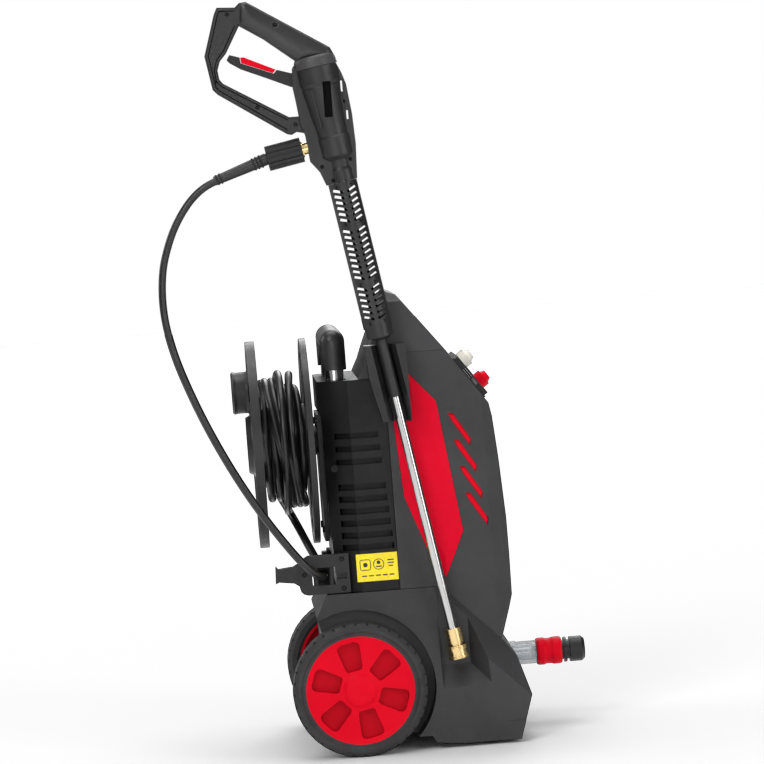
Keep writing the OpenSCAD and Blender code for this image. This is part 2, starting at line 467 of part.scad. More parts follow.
module unloader_valve() color([0.75, 0.58, 0.25]) at() translate([0, -95, 128]) { xcyl(12, 38.02, 66); xcyl(8, 65, 84); }
module switch_box() color([0.1, 0.1, 0.11]) at() difference() { box([-32, -188.8, 300], [32, -164, 362]); translate([0, 0, 330]) ycyl(6.3, -192, -170); }
module power_knob() color([0.8, 0.03, 0.1]) at() translate([0, 0, 330]) {
  ycyl(6, -200, -171); ycyl(26, -205, -196); box([-6, -211, -24], [6, -204, 24]);
}
supply_pts = [[22, -44.3, 122], [22, -34, 123], [21, -22, 129], [19, -13, 140], [16, -8, 156], [12, -6, 180], [8, -6, 210], [5, -6, 245],
  [3, -8, 280], [2, -10, 315], [1, -11, 350], [0, -11, 375], [0, -10, 390], [0, -7, 402], [0, -2, 411], [0, 4, 416], [0, 8.8, 417.2]];
module supply_hose() color([0.06, 0.06, 0.07]) at() sweep(supply_pts, 6, 10);

// ---- water inlet ----
module inlet_filter() color([0.85, 0.88, 0.9, 0.35]) at() translate([0, 0, 100.5]) difference() {
  union() {
    ycyl(17, -224, -206); ycyl(14, -252, -223);
    for (a = [0:45:315]) rotate([0, a, 0]) box([-1, -251.8, 13], [1, -224, 15.8]);
  }
  ycyl(11.5, -250, -209);
  ycyl(8, -260, -200);
}
module filter_mesh() color([0.7, 0.7, 0.7]) at() translate([0, 0, 100.5]) difference() { ycyl(7.6, -246, -212); ycyl(6.8, -244, -205); }
module hose_connector() color([0.07, 0.07, 0.08]) at() translate([0, 0, 100.5]) difference() {
  union() {
    ycyl(12, -262, -252.02); ycyl(13, -300, -261.9); ycyl(17, -294, -291);
    yturn([[0, -319], [13.5, -319], [17, -315], [17, -299], [0, -299]]);
  }
  ycyl(9, -330, -299); ycyl(7, -300, -240);
}
module connector_collar() color([0.8, 0.03, 0.1]) at() translate([0, 0, 100.5]) difference() {
  yturn([[13.3, -287], [17.5, -287], [18.5, -284], [18.5, -276], [17.3, -272], [17.3, -266], [18.5, -262], [18.5, -256], [17.5, -253], [13.3, -253]]);
}

top_cover();
front_cover();
rear_cover();
base_housing();
side_panels();
vent_inserts();
lance_holder();
hose_guide();
cord_hook();
cord_gland();
label_plate();
nozzle_rack();
axle();
axle_clips();
foot_pads();
reel_bracket();
motor_case();
stator_core();
motor_bearings();
capacitor();
pump_body();
pump_head();
pistons();
unloader_valve();
switch_box();
supply_hose();
inlet_filter();
filter_mesh();
hose_connector();
housing_screws();
tyre_left();
rim_left();
tyre_right();
rim_right();
flange_outer();
reel_drum();
hose_coil();
crank_knob();
handle_tubes();
handle_grip();
gun_shell_left();
gun_shell_right();
barrel_cover();
handguard();
lance_tube();
coupler_body();
gun_inlet();
trigger();
safety_latch();
hose_nut();
coupler_sleeve();
hose_lead();
hose_relief();
roller_front();
roller_rear();
power_knob();
nozzle_fan();
nozzle_jet();
rotor();
connector_collar();
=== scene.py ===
import bpy, bmesh, math, random, json
from mathutils import Vector, Matrix, noise

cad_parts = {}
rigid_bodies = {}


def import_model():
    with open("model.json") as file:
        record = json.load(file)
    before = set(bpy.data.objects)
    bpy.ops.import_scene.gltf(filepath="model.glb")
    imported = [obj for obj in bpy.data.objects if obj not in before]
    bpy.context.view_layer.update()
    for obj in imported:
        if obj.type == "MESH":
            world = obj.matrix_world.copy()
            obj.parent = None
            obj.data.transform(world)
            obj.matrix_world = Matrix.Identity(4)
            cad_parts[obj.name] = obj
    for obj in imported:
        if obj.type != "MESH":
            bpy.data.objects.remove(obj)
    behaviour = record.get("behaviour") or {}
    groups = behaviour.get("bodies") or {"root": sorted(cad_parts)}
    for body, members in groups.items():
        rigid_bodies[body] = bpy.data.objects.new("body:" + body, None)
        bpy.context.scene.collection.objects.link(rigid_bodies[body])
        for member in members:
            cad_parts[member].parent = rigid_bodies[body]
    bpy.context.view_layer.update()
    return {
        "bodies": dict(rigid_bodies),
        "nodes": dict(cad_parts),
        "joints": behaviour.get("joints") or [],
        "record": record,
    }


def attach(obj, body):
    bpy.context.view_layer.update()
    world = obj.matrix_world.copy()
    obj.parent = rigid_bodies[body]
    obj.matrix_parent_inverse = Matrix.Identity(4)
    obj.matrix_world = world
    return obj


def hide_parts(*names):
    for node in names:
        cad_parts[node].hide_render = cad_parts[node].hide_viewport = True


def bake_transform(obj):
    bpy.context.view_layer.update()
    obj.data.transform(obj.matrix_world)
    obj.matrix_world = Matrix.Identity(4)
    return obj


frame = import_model()
NODE = frame["nodes"]
AY = 0.0885              # the wheel axle's Y in the row frame
col = bpy.context.scene.collection
rnd = random.Random(7)


# ------------------------------------------------------------------ helpers
def P(x, y, z):
    """A point given in mm with Y counted from the wheel axle, as in the CAD source."""
    return Vector((x / 1000, y / 1000 + AY, z / 1000))


def new_obj(name, me):
    o = bpy.data.objects.new(name, me)
    col.objects.link(o)
    return o


def smooth(o, angle=35):
    for p in o.data.polygons:
        p.use_smooth = True
    return o


def catmull(pts, step):
    """Points every `step` metres along a centripetal-like spline through pts."""
    pts = [Vector(p) for p in pts]
    out = []
    n = len(pts)
    for i in range(n - 1):
        p0 = pts[i - 1] if i else pts[0] * 2 - pts[1]
        p1, p2 = pts[i], pts[i + 1]
        p3 = pts[i + 2] if i + 2 < n else pts[-1] * 2 - pts[-2]
        k = max(2, int((p2 - p1).length / step) + 1)
        for j in range(k):
            t = j / k
            out.append(0.5 * (2 * p1 + (p2 - p0) * t + (2 * p0 - 5 * p1 + 4 * p2 - p3) * t * t
                              + (3 * p1 - p0 - 3 * p2 + p3) * t ** 3))
    out.append(pts[-1])
    return out


def relax(pts, rounds):
    """Evens out the bends of a path without moving its ends."""
    pts = [p.copy() for p in pts]
    for _ in range(rounds):
        q = [p.copy() for p in pts]
        for i in range(1, len(pts) - 1):
            q[i] = pts[i] * 0.5 + (pts[i - 1] + pts[i + 1]) * 0.25
        pts = q
    return pts


def tube(name, path, radius, sides=16, caps=True, radii=None):
    bm = bmesh.new()
    rings = []
    n = len(path)
    side = None
    for i, p in enumerate(path):
        t = (path[min(i + 1, n - 1)] - path[max(i - 1, 0)]).normalized()
        if side is None:
            a = Vector((0, 0, 1)) if abs(t.z) < 0.8 else Vector((1, 0, 0))
            side = t.cross(a).normalized()
        else:
            side = (side - t * side.dot(t)).normalized()
        up = t.cross(side)
        r = radii[i] if radii else radius
        rings.append([bm.verts.new(p + side * (r * math.cos(2 * math.pi * k / sides)) + up * (r * math.sin(2 * math.pi * k / sides)))
                      for k in range(sides)])
    for i in range(n - 1):
        for k in range(sides):
            bm.faces.new((rings[i][k], rings[i][(k + 1) % sides], rings[i + 1][(k + 1) % sides], rings[i + 1][k]))
    if caps:
        bm.faces.new(list(reversed(rings[0])))
        bm.faces.new(rings[-1])
    bmesh.ops.recalc_face_normals(bm, faces=bm.faces)
    me = bpy.data.meshes.new(name)
    bm.to_mesh(me)
    bm.free()
    return smooth(new_obj(name, me))


# ------------------------------------------------------------------ node materials
class G:
    """A small builder for node graphs."""

    def __init__(self, name):
        self.m = bpy.data.materials.new(name)
        self.m.use_nodes = True
        self.t = self.m.node_tree
        self.t.nodes.clear()
        self.out = self.n("ShaderNodeOutputMaterial")
        self.b = self.n("ShaderNodeBsdfPrincipled")
        self.l(self.b.outputs[0], self.out.inputs["Surface"])
        self.tc = self.n("ShaderNodeTexCoord")

    def n(self, kind, **kw):
        node = self.t.nodes.new(kind)
        for k, v in kw.items():
            setattr(node, k, v)
        return node

    def l(self, a, b):
        self.t.links.new(a, b)

    def map(self, scale=(1, 1, 1), rot=(0, 0, 0)):
        mp = self.n("ShaderNodeMapping")
        mp.inputs["Scale"].default_value = scale
        mp.inputs["Rotation"].default_value = rot
        self.l(self.tc.outputs["Object"], mp.inputs["Vector"])
        return mp.outputs[0]

    def noise(self, scale, detail=3, rough=0.5, vec=None, dist=0.0):
        nd = self.n("ShaderNodeTexNoise")
        nd.inputs["Scale"].default_value = scale
        nd.inputs["Detail"].default_value = detail
        nd.inputs["Roughness"].default_value = rough
        nd.inputs["Distortion"].default_value = dist
        self.l(vec or self.tc.outputs["Object"], nd.inputs["Vector"])
        return nd.outputs["Fac"]

    def voronoi(self, scale, vec=None, feature="F1", out="Distance"):
        nd = self.n("ShaderNodeTexVoronoi", feature=feature)
        nd.inputs["Scale"].default_value = scale
        self.l(vec or self.tc.outputs["Object"], nd.inputs["Vector"])
        return nd.outputs[out]

    def ramp(self, fac, stops):
        nd = self.n("ShaderNodeValToRGB")
        e = nd.color_ramp.elements
        while len(e) < len(stops):
            e.new(0.5)
        for i, (p, c) in enumerate(stops):
            e[i].position = p
            e[i].color = tuple(c) + (1,) if len(c) == 3 else c
        self.l(fac, nd.inputs[0])
        return nd.outputs[0]

    def span(self, fac, a, b, lo=0.3, hi=0.7):
        nd = self.n("ShaderNodeMapRange")
        nd.inputs["From Min"].default_value = lo
        nd.inputs["From Max"].default_value = hi
        nd.inputs["To Min"].default_value = a
        nd.inputs["To Max"].default_value = b
        self.l(fac, nd.inputs["Value"])
        return nd.outputs[0]

    def mix(self, fac, a, b, mode="MIX"):
        nd = self.n("ShaderNodeMix", data_type="RGBA", blend_type=mode)
        if isinstance(fac, (int, float)):
            nd.inputs[0].default_value = fac
        else:
            self.l(fac, nd.inputs[0])
        for v, i in ((a, 6), (b, 7)):
            if isinstance(v, (tuple, list)):
                nd.inputs[i].default_value = tuple(v) + (1,)
            else:
                self.l(v, nd.inputs[i])
        return nd.outputs[2]

    def math(self, op, a, b=None):
        nd = self.n("ShaderNodeMath", operation=op)
        for i, v in enumerate((a, b)):
            if v is None:
                continue
            if isinstance(v, (int, float)):
                nd.inputs[i].default_value = v
            else:
                self.l(v, nd.inputs[i])
        return nd.outputs[0]

    def bump(self, height, strength, distance, normal=None):
        nd = self.n("ShaderNodeBump")
        nd.inputs["Strength"].default_value = strength
        nd.inputs["Distance"].default_value = distance
        self.l(height, nd.inputs["Height"])
        if normal is not None:
            self.l(normal, nd.inputs["Normal"])
        return nd.outputs[0]

    def set(self, **kw):
        for k, v in kw.items():
            s = self.b.inputs[k.replace("_", " ")]
            if isinstance(v, (int, float)):
                s.default_value = v
            elif isinstance(v, (tuple, list)):
                s.default_value = tuple(v) + (1,) if len(v) == 3 else v
            else:
                self.l(v, s)
        return self


def plastic(name, c, rough=0.5, grain=900, depth=0.00025, strength=0.35, var=0.18, spec=0.4, coat=0.0):
    """Moulded plastic: spark-eroded grain, faint flow marks, faint dark speckle."""
    g = G(name)
    big = g.noise(11, 4, 0.55, dist=0.4)
    mid = g.noise(85, 3, 0.6)
    lo = tuple(v * (1 - var) for v in c)
    hi = tuple(min(1, v * (1 + var) + 0.0012) for v in c)
    base = g.ramp(big, [(0.32, lo), (0.68, hi)])
    speck = g.span(g.voronoi(grain * 0.7), 0, 0.5, 0.0, 0.35)
    base = g.mix(g.math("MULTIPLY", speck, 0.22), base, tuple(v * 0.6 for v in c))
    # faint scuffs
    scuff = g.span(g.noise(38, 6, 0.75, vec=g.map((1, 1, 6))), 0, 1, 0.66, 0.78)
    base = g.mix(g.math("MULTIPLY", scuff, 0.10), base, tuple(min(1, v * 1.6 + 0.02) for v in c))
    r = g.span(mid, rough - 0.06, rough + 0.07)
    r = g.math("ADD", r, g.math("MULTIPLY", scuff, 0.08))
    h1 = g.voronoi(grain)
    h2 = g.noise(grain * 0.45, 2, 0.6)
    n1 = g.bump(h1, strength, depth)
    n2 = g.bump(h2, strength * 0.6, depth * 1.6, n1)
    n3 = g.bump(big, 0.05, 0.004, n2)
    g.set(Base_Color=base, Roughness=r, Normal=n3)
    g.b.inputs["Specular IOR Level"].default_value = spec
    if coat:
        g.b.inputs["Coat Weight"].default_value = coat
        g.b.inputs["Coat Roughness"].default_value = 0.25
    return g.m


def depth_shaded(m, near, far, dark):
    """Darkens what lies deeper than `far` metres from the middle along X: pocket floors, the walls behind the louvres."""
    t = m.node_tree
    b = next(n for n in t.nodes if n.type == "BSDF_PRINCIPLED")
    tc = next(n for n in t.nodes if n.type == "TEX_COORD")
    src = b.inputs["Base Color"].links[0].from_socket

    def add(kind, **kw):
        n = t.nodes.new(kind)
        for k, v in kw.items():
            setattr(n, k, v)
        return n
    sep = add("ShaderNodeSeparateXYZ")
    t.links.new(tc.outputs["Object"], sep.inputs[0])
    ab = add("ShaderNodeMath", operation="ABSOLUTE")
    t.links.new(sep.outputs["X"], ab.inputs[0])
    deep = add("ShaderNodeMapRange")
    deep.inputs["From Min"].default_value = near
    deep.inputs["From Max"].default_value = far
    deep.inputs["To Min"].default_value = dark
    deep.inputs["To Max"].default_value = 1.0
    t.links.new(ab.outputs[0], deep.inputs["Value"])
    mix = add("ShaderNodeMix", data_type="RGBA", blend_type="MULTIPLY")
    mix.inputs[0].default_value = 1.0
    comb = add("ShaderNodeCombineColor")
    for i in range(3):
        t.links.new(deep.outputs[0], comb.inputs[i])
    t.links.new(src, mix.inputs[6])
    t.links.new(comb.outputs[0], mix.inputs[7])
    t.links.new(mix.outputs[2], b.inputs["Base Color"])
    return m


def metal(name, c, rough=0.2, brush=(1, 1, 1), scale=400, strength=0.1, var=0.06, stain=0.0):
    g = G(name)
    v = g.map(brush)
    fine = g.noise(scale, 4, 0.65, vec=v)
    big = g.noise(14, 3, 0.5)
    base = g.ramp(big, [(0.3, tuple(x * (1 - var) for x in c)), (0.7, tuple(min(1, x * (1 + var)) for x in c))])
    if stain:
        spots = g.span(g.noise(150, 5, 0.7), 0, 1, 0.6, 0.75)
        base = g.mix(g.math("MULTIPLY", spots, stain), base, tuple(x * 0.45 for x in c))
    r = g.span(fine, rough * 0.7, rough * 1.35)
    g.set(Base_Color=base, Roughness=r, Normal=g.bump(fine, strength, 0.0002))
    g.b.inputs["Metallic"].default_value = 1.0
    return g.m


def rubber(name, c, rough=0.6, grain=1400, strength=0.3, spec=0.35, dusty=0.25):
    g = G(name)
    big = g.noise(24, 5, 0.6)
    base = g.ramp(big, [(0.35, tuple(v * 0.8 for v in c)), (0.7, tuple(v * 1.25 + 0.002 for v in c))])
    dust = g.span(g.noise(60, 6, 0.7), 0, 1, 0.5, 0.75)
    base = g.mix(g.math("MULTIPLY", dust, dusty), base, (0.07, 0.068, 0.064))
    r = g.span(g.noise(70, 4, 0.6), rough - 0.08, rough + 0.1)
    n1 = g.bump(g.noise(grain, 3, 0.6), strength, 0.0003)
    g.set(Base_Color=base, Roughness=r, Normal=n1)
    g.b.inputs["Specular IOR Level"].default_value = spec
    return g.m


M = {}
M["hood"] = plastic("hood_plastic", (0.030, 0.030, 0.0315), 0.52, 1000, strength=0.4, spec=0.38)
# painted highlight: the top cover gets a lighter copy of the hood plastic, standing in for the light that falls on top
M["hood_top_lit"] = plastic("hood_top_plastic_painted_lighter", (0.036, 0.036, 0.0375), 0.5, 1000, strength=0.4, spec=0.38)
M["base"] = plastic("base_plastic", (0.029, 0.029, 0.0305), 0.54, 1000, strength=0.4, spec=0.38)
M["rear"] = depth_shaded(plastic("rear_plastic", (0.0085, 0.0085, 0.0095), 0.46, 1000, strength=0.35, spec=0.22), 0.099, 0.1065, 0.12)
M["black"] = plastic("black_plastic", (0.011, 0.011, 0.012), 0.42, 1200, strength=0.3, spec=0.38)
M["gun"] = plastic("gun_plastic", (0.0165, 0.0165, 0.0175), 0.40, 1100, strength=0.35, spec=0.42)
M["reel"] = plastic("reel_plastic", (0.0135, 0.0135, 0.0145), 0.4, 1100, strength=0.3, spec=0.42)
M["grip"] = rubber("grip_rubber", (0.012, 0.012, 0.013), 0.38, 1500, 0.25, 0.5, 0.05)
M["red"] = plastic("red_plastic", (0.72, 0.0, 0.014), 0.44, 1100, strength=0.2, var=0.05, spec=0.07)
M["rim"] = depth_shaded(plastic("rim_red_plastic", (0.72, 0.0, 0.014), 0.44, 1100, strength=0.2, var=0.05, spec=0.07), 0.1575, 0.1655, 0.66)
M["red_panel"] = plastic("red_panel_plastic", (0.68, 0.0, 0.019), 0.46, 900, strength=0.4, var=0.06, spec=0.07)
M["tyre"] = rubber("tyre_rubber", (0.028, 0.028, 0.029), 0.62, 1300, 0.4, 0.3, 0.35)
M["hose"] = rubber("hose_jacket", (0.009, 0.009, 0.0095), 0.34, 900, 0.12, 0.5, 0.06)
M["rubber"] = rubber("pad_rubber", (0.012, 0.012, 0.012), 0.6, 1300, 0.35, 0.3, 0.2)
M["steel"] = metal("steel", (0.56, 0.57, 0.59), 0.3, (1, 1, 1), 500, 0.12)
M["chrome"] = metal("lance_steel", (0.56, 0.555, 0.55), 0.15, (1, 1, 0.06), 700, 0.05, 0.03)
M["alloy"] = metal("cast_alloy", (0.6, 0.61, 0.63), 0.45, (1, 1, 1), 260, 0.4, 0.1)
M["brass"] = metal("brass", (0.83, 0.62, 0.30), 0.24, (1, 1, 1), 600, 0.12, 0.08, 0.35)
M["stator"] = metal("stator_core", (0.42, 0.24, 0.12), 0.5, (1, 1, 14), 300, 0.4, 0.15)
M["white"] = plastic("white_plastic", (0.74, 0.71, 0.62), 0.35, 1200, strength=0.15, var=0.04, spec=0.45)


def clear_plastic():
    g = G("clear_polycarbonate")
    n = g.noise(160, 3, 0.5)
    g.set(Base_Color=g.ramp(g.noise(60, 3, 0.5), [(0.3, (0.62, 0.66, 0.68)), (0.7, (0.72, 0.76, 0.78))]),
          Roughness=g.span(n, 0.05, 0.14), Normal=g.bump(g.noise(90, 2, 0.5), 0.12, 0.0008))
    g.b.inputs["Specular IOR Level"].default_value = 0.9
    g.b.inputs["Alpha"].default_value = 0.34
    return g.m


M["clear"] = clear_plastic()


def label_yellow():
    g = G("label_film")
    base = g.ramp(g.noise(30, 3, 0.5), [(0.3, (0.86, 0.68, 0.0)), (0.7, (0.93, 0.76, 0.01))])
    g.set(Base_Color=base, Roughness=g.span(g.noise(200, 3, 0.5), 0.22, 0.36), Normal=g.bump(g.noise(700, 2, 0.5), 0.08, 0.0002))
    return g.m


M["label"] = label_yellow()
M["screw"] = plastic("black_screw", (0.0035, 0.0035, 0.004), 0.5, 1500, strength=0.1, spec=0.2)
# also used for the painted shade strips beside the gun's bow beads
M["void"] = plastic("window_black_and_groove_shade", (0.002, 0.002, 0.0022), 0.75, 1500, strength=0.1, spec=0.08)
M["gloss"] = plastic("gloss_black", (0.006, 0.006, 0.0065), 0.22, 1500, strength=0.05, spec=0.5)
M["collar"] = plastic("gun_collar_plastic", (0.055, 0.055, 0.057), 0.42, 1100, strength=0.3, spec=0.4)
M["gun_pad"] = plastic("gun_pad_rubber", (0.019, 0.019, 0.020), 0.36, 1300, strength=0.25, spec=0.5)
M["ink"] = plastic("label_ink", (0.02, 0.02, 0.02), 0.35, 1500, strength=0.1)

MAT = {}
for key, names in {
    "hood": "front_cover", "hood_top_lit": "top_cover", "base": "base_housing", "rear": "rear_cover",
    "black": "lance_holder hose_guide cord_hook cord_gland nozzle_rack switch_box hose_nut roller_front roller_rear hose_connector trigger",
    "gun": "gun_shell_left gun_shell_right barrel_cover handguard",
    "reel": "reel_bracket flange_outer reel_drum crank_knob",
    "grip": "handle_grip", "rim": "rim_left rim_right", "red": "safety_latch power_knob nozzle_jet connector_collar vent_inserts",
    "red_panel": "side_panels", "tyre": "tyre_left tyre_right", "hose": "supply_hose hose_lead hose_coil hose_relief",
    "rubber": "foot_pads", "steel": "axle axle_clips motor_bearings pistons rotor filter_mesh", "screw": "housing_screws",
    "chrome": "lance_tube handle_tubes", "brass": "coupler_body coupler_sleeve gun_inlet pump_head unloader_valve",
    "alloy": "motor_case pump_body capacitor", "stator": "stator_core", "label": "label_plate", "clear": "inlet_filter",
    "white": "nozzle_fan"}.items():
    for n in names.split():
        MAT[n] = M[key]
for n, o in NODE.items():
    o.data.materials.clear()
    o.data.materials.append(MAT[n])


def soften(node, width, segments=3, angle=28, planar=True):
    """Rounds a CAD node's edges with modifiers; its mesh data stays as it is."""
    o = NODE[node]
    if planar:
        d = o.modifiers.new("flat", "DECIMATE")
        d.decimate_type = "DISSOLVE"
        d.angle_limit = math.radians(0.6)
    b = o.modifiers.new("edge", "BEVEL")
    b.width = width
    b.segments = segments
    b.limit_method = "ANGLE"
    b.angle_limit = math.radians(angle)
    b.miter_outer = "MITER_ARC"
    b.harden_normals = False
    b.use_clamp_overlap = True
    for p in o.data.polygons:
        p.use_smooth = True
    w = o.modifiers.new("normals", "WEIGHTED_NORMAL")
    w.keep_sharp = True
    w.weight = 60


# ------------------------------------------------------------------ camera
def camera():
    al, ep, ro = (math.radians(v) for v in (2.617, 3.362, 4.360))
    back = Vector((-math.cos(ep) * math.cos(al), math.cos(ep) * math.sin(al), math.sin(ep)))
    right = (-back).cross(Vector((0, 0, 1))).normalized()
    up = right.cross(-back)
    r2 = right * math.cos(ro) - up * math.sin(ro)
    u2 = right * math.sin(ro) + up * math.cos(ro)
    pos = P(0, -67.466, 490.722) + back * 5.055732
    cd = bpy.data.cameras.new("camera")
    cd.sensor_fit = "HORIZONTAL"
    cd.sensor_width = 36
    cd.lens = 3666.456 * 36 / 764
    cd.clip_end = 60
    cam = new_obj("camera", cd)
    m = Matrix((r2, u2, back)).transposed().to_4x4()
    m.translation = pos
    cam.matrix_world = m
    bpy.context.scene.camera = cam


camera()

# ------------------------------------------------------------------ the hose
LEAD = [[54, 84, 339], [39, 79, 330], [21, 72, 318], [3, 66, 306], [-15, 60, 294], [-33, 54, 281], [-50, 48, 269],
  [-66, 42, 257], [-80, 38, 248], [-94, 36, 242], [-108, 36, 240], [-120, 38, 241], [-131, 43, 244], [-139, 50, 250], [-144, 60, 260],
  [-146, 73, 276], [-146, 86, 294], [-146, 99, 313], [-146, 112, 333], [-146, 126, 356], [-145, 140, 381], [-145, 154, 408], [-144, 167, 435],
  [-144, 179, 462], [-143, 190, 489], [-143, 200, 516], [-142, 209, 543], [-142, 216, 570], [-141, 221, 597], [-141, 223, 624],
  [-140, 222, 651], [-140, 218, 677], [-140, 210, 702], [-140, 200, 725], [-140, 187, 746], [-140, 173, 763], [-140, 158, 775.5], [-140, 142.9, 782.6],
  [-140, 137, 784.7]]


def hose_lead():
    path = relax(catmull([P(*p) for p in LEAD], 0.005), 6)
    o = tube("hose_lead_jacket", path, 0.005, 20)
    o.data.materials.append(M["hose"])
    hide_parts("hose_lead")
    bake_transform(o)
    return o


def hose_winding():
    """Three close layers on the drum, then loose turns that slant from flange to flange."""
    cz = 418.0
    # radius, turns, first y, last y, slant
    layers = [(57.4, 5, 50.0, 101.0, 0.0), (66.9, 5, 101.0, 50.0, 0.0), (76.3, 4, 52.0, 100.0, 2.0),
              (86.0, 3, 89.0, 63.0, 16.0), (95.8, 1.6545, 60.0, 84.0, -5.0)]
    pts = []
    a = 0.0
    steps = 44
    last = None
    for li, (r, turns, ya, yb, slant) in enumerate(layers):
        n = int(turns * steps)
        for i in range(n + (1 if li == len(layers) - 1 else 0)):
            t = i / n
            th = 2 * math.pi * (a + turns * t)
            grow = min(1.0, i / 16.0)
            grow = grow * grow * (3 - 2 * grow)
            fade = min(1.0, (n - i) / 12.0) if li < len(layers) - 1 else min(1.0, (n - i) / 40.0)
            y = ya + (yb - ya) * t + slant * math.sin(th) * grow * fade
            rr = r
            if last is not None:
                rr = last[0] + (r - last[0]) * grow
                y = last[1] + (y - last[1]) * grow
            wob = noise.noise(Vector((th * 0.55, li * 3.1, 0.2)))
            wob *= min(1.0, (n - i) / 10.0) if li == len(layers) - 1 else 1.0
            rr += wob * (0.2 + 0.45 * max(0, li - 2))
            y += wob * (0.2 + 0.9 * max(0, li - 2))
            pts.append(P(-rr * math.cos(th), min(max(y, 48.6), 103.2), cz + rr * math.sin(th)))
        a += turns
        last = (r, yb)
    return pts


lead = hose_lead()
wp = relax(hose_winding(), 1)
winding = tube("hose_winding", wp, 0.005, 12)
winding.data.materials.append(M["hose"])
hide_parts("hose_coil")
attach(winding, "reel")

# ------------------------------------------------------------------ small pieces
def frame_of(axis):
    z = Vector(axis).normalized()
    x = z.cross(Vector((0, 0, 1)) if abs(z.z) < 0.8 else Vector((1, 0, 0))).normalized()
    return x, z.cross(x), z


class Build:
    """Collects several shapes into one mesh; lengths in mm, axle-based coordinates."""

    def __init__(self):
        self.bm = bmesh.new()

    def lathe(self, origin, axis, prof, sides=24, closed=False):
        x, y, z = frame_of(axis)
        o = P(*origin)
        rings = []
        for r, h in prof:
            r, h = r / 1000, h / 1000
            if r < 1e-7:
                rings.append([self.bm.verts.new(o + z * h)])
            else:
                rings.append([self.bm.verts.new(o + z * h + x * (r * math.cos(2 * math.pi * k / sides)) + y * (r * math.sin(2 * math.pi * k / sides)))
                              for k in range(sides)])
        pairs = list(zip(rings, rings[1:]))
        if closed:
            pairs.append((rings[-1], rings[0]))
        for a, b in pairs:
            for k in range(sides):
                k2 = (k + 1) % sides
                if len(a) == 1 and len(b) == 1:
                    continue
                if len(a) == 1:
                    self.bm.faces.new((a[0], b[k], b[k2]))
                elif len(b) == 1:
                    self.bm.faces.new((a[k], b[0], a[k2]))
                else:
                    self.bm.faces.new((a[k], b[k], b[k2], a[k2]))

    def slab(self, pts, direction, thick, bevel=0.0):
        """Plate over a flat outline of points, with a narrower top when bevelled."""
        d = Vector(direction).normalized()
        base = [P(*p) for p in pts]
        c = sum(base, Vector()) / len(base)
        levels = [(0.0, 0.0), (thick - bevel, 0.0), (thick, bevel)] if bevel else [(0.0, 0.0), (thick, 0.0)]
        rings = []
        for h, inn in levels:
            rings.append([self.bm.verts.new(p + d * (h / 1000) + (c - p).normalized() * (inn / 1000)) for p in base])
        for a, b in zip(rings, rings[1:]):
            for k in range(len(a)):
                k2 = (k + 1) % len(a)
                self.bm.faces.new((a[k], a[k2], b[k2], b[k]))
        self.bm.faces.new(list(reversed(rings[0])))
        self.bm.faces.new(rings[-1])

    def ring(self, pts_out, pts_in, direction, thick):
        d = Vector(direction).normalized() * (thick / 1000)
        o = [P(*p) for p in pts_out]
        i = [P(*p) for p in pts_in]
        v = [[self.bm.verts.new(p + k) for p in loop] for loop in (o, i) for k in (Vector(), d)]
        n = len(o)
        for a, b in ((v[0], v[1]), (v[1], v[3]), (v[3], v[2]), (v[2], v[0])):
            for k in range(n):
                k2 = (k + 1) % n
                self.bm.faces.new((a[k], a[k2], b[k2], b[k]))

    def done(self, name, mat, body, bevel=0.0, smooth_it=True, node=None):
        bmesh.ops.recalc_face_normals(self.bm, faces=self.bm.faces)
        me = bpy.data.meshes.new(name)
        self.bm.to_mesh(me)
        self.bm.free()
        o = new_obj(name, me)
        if smooth_it:
            smooth(o)
        if bevel:
            b = o.modifiers.new("edge", "BEVEL")
            b.width = bevel
            b.segments = 2
            b.limit_method = "ANGLE"
            b.angle_limit = math.radians(30)
        w = o.modifiers.new("normals", "WEIGHTED_NORMAL")
        w.keep_sharp = True
        o.data.materials.append(mat)
        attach(o, body)
        return o


SCREW = [(0, -1.6), (0.9, -1.6), (1.1, -0.5), (2.0, -0.35), (2.45, -0.9), (2.45, -2.0), (0, -2.0)]


def lance_pt(x, y, z):
    """Point in the lance frame (z up the lance), returned in axle-based mm."""
    t = math.radians(9.51)
    return (-140 + x, -77.5 + y * math.cos(t) + z * math.sin(t), 478 - y * math.sin(t) + z * math.cos(t))


def rounded(cy, cz, w, h, r, x, seg=5):
    out = []
    for qx, qz, a0 in ((w / 2 - r, h / 2 - r, 0), (-w / 2 + r, h / 2 - r, 90), (-w / 2 + r, -h / 2 + r, 180), (w / 2 - r, -h / 2 + r, 270)):
        for k in range(seg + 1):
            a = math.radians(a0 + 90 * k / seg)
            out.append((x, cy + qx + r * math.cos(a), cz + qz + r * math.sin(a)))
    return out


